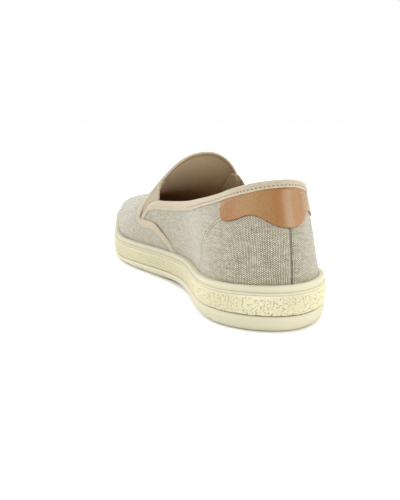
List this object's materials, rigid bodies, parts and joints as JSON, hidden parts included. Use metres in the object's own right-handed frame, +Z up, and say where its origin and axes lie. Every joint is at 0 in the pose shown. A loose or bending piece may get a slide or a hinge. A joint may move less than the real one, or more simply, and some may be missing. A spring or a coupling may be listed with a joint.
{
  "type": "canvas slip-on shoe",
  "caption": "Low canvas slip-on shoe for the right foot, with a braided cup sole, elastic side gores and a leather heel tab.",
  "frame": {"origin": "centre of the shoe's box, on the floor", "axes": "+Y to the toe, +Z up, +X to the outer side of the right foot"},
  "size_m": [0.1042, 0.2919, 0.0914],
  "materials": {
    "canvas": "greige linen-look canvas, plain weave, matte",
    "rubber": "smooth cream rubber, satin",
    "braid": "cream braided band, matte",
    "leather": "smooth tan leather, semi-matte",
    "elastic": "cream ribbed elastic, matte",
    "insole": "brown lining leather, matte"
  },
  "bodies": {
    "root": {"outsole": "rubber", "midsole_braid": "braid", "sole_lip": "rubber", "insole": "insole", "upper": "canvas", "gore_inner": "elastic", "gore_outer": "elastic", "heel_tab": "leather"}
  },
  "joints": []
}
